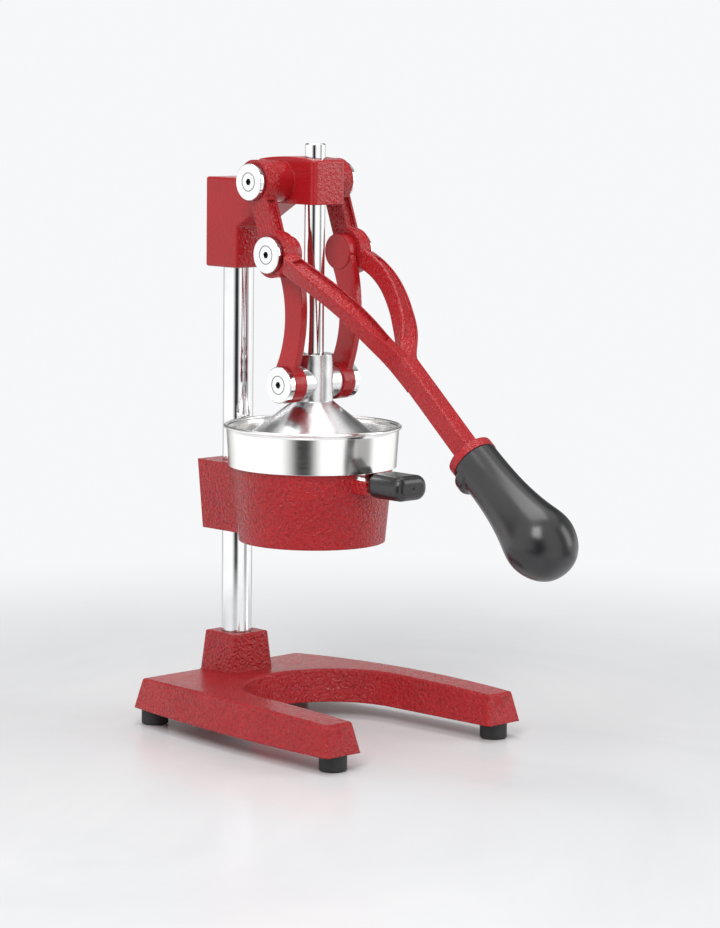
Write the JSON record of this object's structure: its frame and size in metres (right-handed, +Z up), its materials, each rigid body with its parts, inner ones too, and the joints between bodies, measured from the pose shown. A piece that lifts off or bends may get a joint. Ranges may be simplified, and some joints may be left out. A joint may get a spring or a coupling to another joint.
{
  "type": "citrus press juicer",
  "caption": "Hand lever citrus press: a forked lever swings on a column head and drives a cone on a sliding rod into a strainer cup held over an open base for a glass.",
  "frame": {"origin": "on the surface that the feet stand on, below the middle of the whole press with its lever down", "axes": "+Z up along the column, -Y to the front where the lever and cup handle point, +X to the right of someone looking from the front to the back"},
  "size_m": [0.2182, 0.3944, 0.4762],
  "materials": {
    "red_enamel": "hammered gloss enamel",
    "plated_steel": "polished plating",
    "cast_cone": "polished casting",
    "sheet_steel": "satin sheet",
    "fastener_steel": "plain zinc",
    "grip_plastic": "satin black",
    "foot_rubber": "matt black"
  },
  "bodies": {
    "frame": {"base_casting": "red_enamel", "foot_front_left": "foot_rubber", "foot_front_right": "foot_rubber", "foot_rear_left": "foot_rubber", "foot_rear_right": "foot_rubber", "foot_screws": "fastener_steel", "column": "plated_steel", "column_bolt": "fastener_steel", "column_washer": "fastener_steel", "head_casting": "red_enamel", "head_set_screws": "fastener_steel", "cup_holder": "red_enamel", "holder_set_screws": "fastener_steel", "funnel": "sheet_steel", "pivot_bolt_top_left": "plated_steel", "pivot_bolt_top_right": "plated_steel"},
    "cup": {"strainer_cup": "sheet_steel", "strainer_dome": "sheet_steel", "handle_tang": "sheet_steel", "cup_handle": "grip_plastic", "handle_pin": "fastener_steel"},
    "lever": {"lever_casting": "red_enamel", "lever_grip": "grip_plastic", "pivot_bolt_middle_left": "plated_steel", "pivot_bolt_middle_right": "plated_steel"},
    "plunger": {"plunger_rod": "plated_steel", "press_cone": "cast_cone", "cone_set_screw": "fastener_steel", "pivot_bolt_lower_left": "plated_steel", "pivot_bolt_lower_right": "plated_steel"},
    "link_left": {"link_left": "red_enamel"},
    "link_right": {"link_right": "red_enamel"}
  },
  "joints": [
    {"name": "lever_swing", "type": "hinge", "parent": "frame", "child": "lever", "pos_m": [0, 0.10432, 0.4457], "axis": [-1, 0, 0], "range_deg": [0, 85]},
    {"name": "plunger_slide", "type": "slide", "parent": "frame", "child": "plunger", "axis": [0, 0, 1], "range_m": [0, 0.0793]},
    {"name": "link_left_tilt", "type": "hinge", "parent": "plunger", "child": "link_left", "pos_m": [0, 0.08272, 0.2847], "axis": [1, 0, 0], "range_deg": [0, 21.22]},
    {"name": "link_right_tilt", "type": "hinge", "parent": "plunger", "child": "link_right", "pos_m": [0, 0.08272, 0.2847], "axis": [1, 0, 0], "range_deg": [0, 21.22]},
    {"name": "cup_lift", "type": "slide", "parent": "frame", "child": "cup", "axis": [0, 0, 1], "range_m": [0, 0.009]}
  ],
  "couplings": [
    {"joint": "plunger_slide", "follows": "lever_swing", "m_per_rad": 0.05337},
    {"joint": "link_left_tilt", "follows": "lever_swing", "ratio": 0.24904},
    {"joint": "link_right_tilt", "follows": "lever_swing", "ratio": 0.24904}
  ]
}
